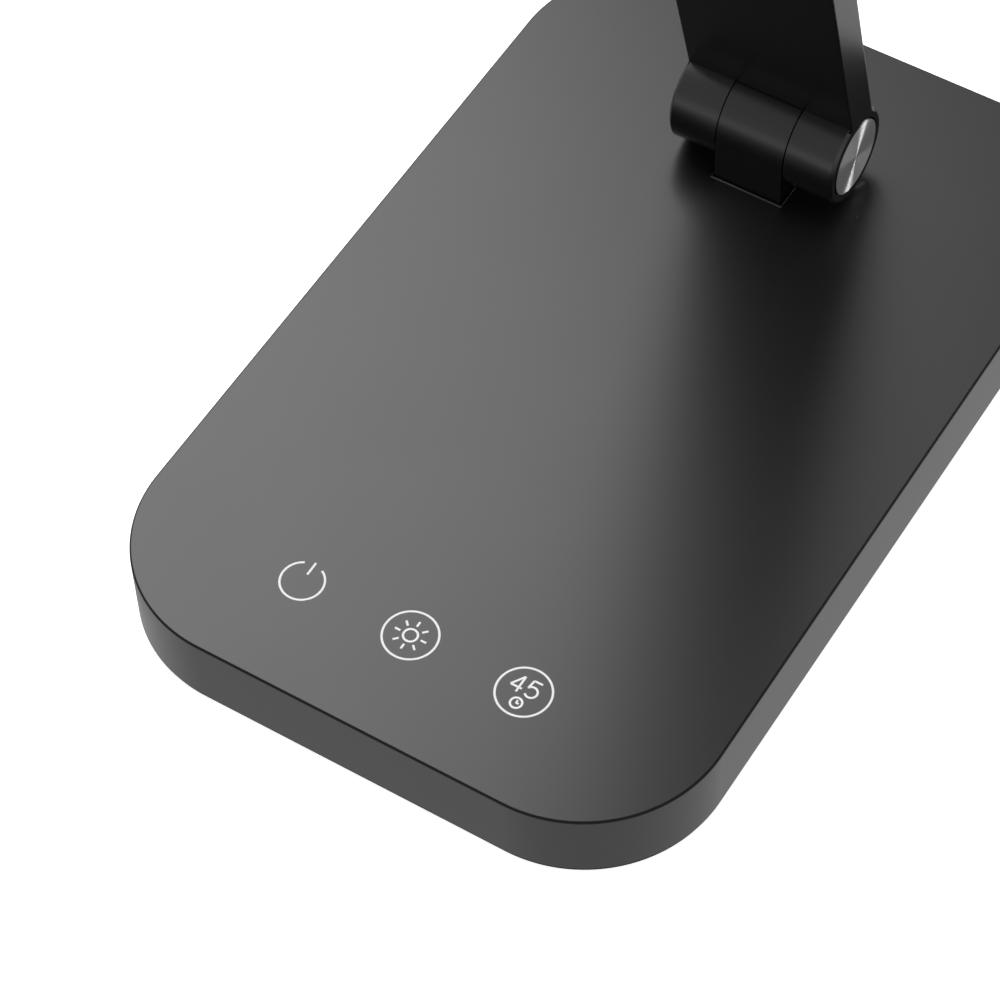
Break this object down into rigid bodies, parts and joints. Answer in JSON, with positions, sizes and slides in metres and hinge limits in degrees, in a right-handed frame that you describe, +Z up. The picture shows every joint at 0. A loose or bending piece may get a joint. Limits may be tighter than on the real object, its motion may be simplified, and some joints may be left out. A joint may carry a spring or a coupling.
{
  "type": "folding led desk lamp",
  "caption": "Folding LED desk lamp: flat rounded weighted base with touch keys, a flat arm on a friction hinge near the back edge and a flat LED bar hinged at the arm's top.",
  "frame": {"origin": "centre of the flat underside that rests on the table", "axes": "+Z up, +Y to the back where the hinge and the power socket are, +X to the right as the touch keys are read"},
  "size_m": [0.12, 0.4126, 0.3473],
  "materials": {
    "base_plastic": "fine matt moulded, black",
    "plate_plastic": "moulded, black",
    "foot_rubber": "fine grip texture, black",
    "weight_steel": "rolled, zinc plated",
    "screw_steel": "zinc plated",
    "post_metal": "satin black",
    "circuit_board": "green solder mask",
    "electronic_parts": "moulded, black",
    "key_foam": "conductive foam",
    "socket_plastic": "moulded, black",
    "contact_metal": "nickel plated",
    "lead_sheath": "smooth, black",
    "friction_plastic": "natural nylon",
    "arm_plastic": "satin black",
    "hinge_steel": "turned",
    "spun_aluminium": "spun, with radial highlights",
    "led_board_metal": "white solder mask on metal core",
    "warm_led": "phosphor, warm white",
    "cool_led": "phosphor, cool white",
    "white_plastic": "bright white",
    "opal_plastic": "opal, light-scattering",
    "sign_ink": "printed white ink"
  },
  "bodies": {
    "base": {"base_cover": "base_plastic", "base_plate": "plate_plastic", "rubber_foot": "foot_rubber", "ballast_plate": "weight_steel", "case_screws": "screw_steel", "post_screws": "screw_steel", "hinge_post": "post_metal", "touch_board": "circuit_board", "touch_board_parts": "electronic_parts", "touch_pads": "key_foam", "driver_board": "circuit_board", "driver_parts": "electronic_parts", "board_screws": "screw_steel", "power_socket": "socket_plastic", "socket_pin": "contact_metal", "base_leads": "lead_sheath", "lower_friction_washers": "friction_plastic"},
    "arm": {"arm_shell": "arm_plastic", "arm_cover": "arm_plastic", "arm_screws": "screw_steel", "arm_stiffener": "weight_steel", "arm_lead": "lead_sheath", "hinge_shafts": "hinge_steel", "spring_washers": "hinge_steel", "hinge_nuts": "hinge_steel", "hinge_discs": "spun_aluminium"},
    "light_bar": {"bar_shell": "arm_plastic", "led_board": "led_board_metal", "warm_leds": "warm_led", "cool_leds": "cool_led", "reflector": "white_plastic", "diffuser": "opal_plastic", "bar_lead": "lead_sheath", "upper_friction_washers": "friction_plastic"}
  },
  "joints": [
    {"name": "base_hinge", "type": "hinge", "parent": "base", "child": "arm", "pos_m": [0, 0.0588, 0.0268], "axis": [1, 0, 0], "range_deg": [-44, 76]},
    {"name": "head_hinge", "type": "hinge", "parent": "arm", "child": "light_bar", "pos_m": [0, -0.01862, 0.33729], "axis": [1, 0, 0], "range_deg": [-76, 104]}
  ]
}
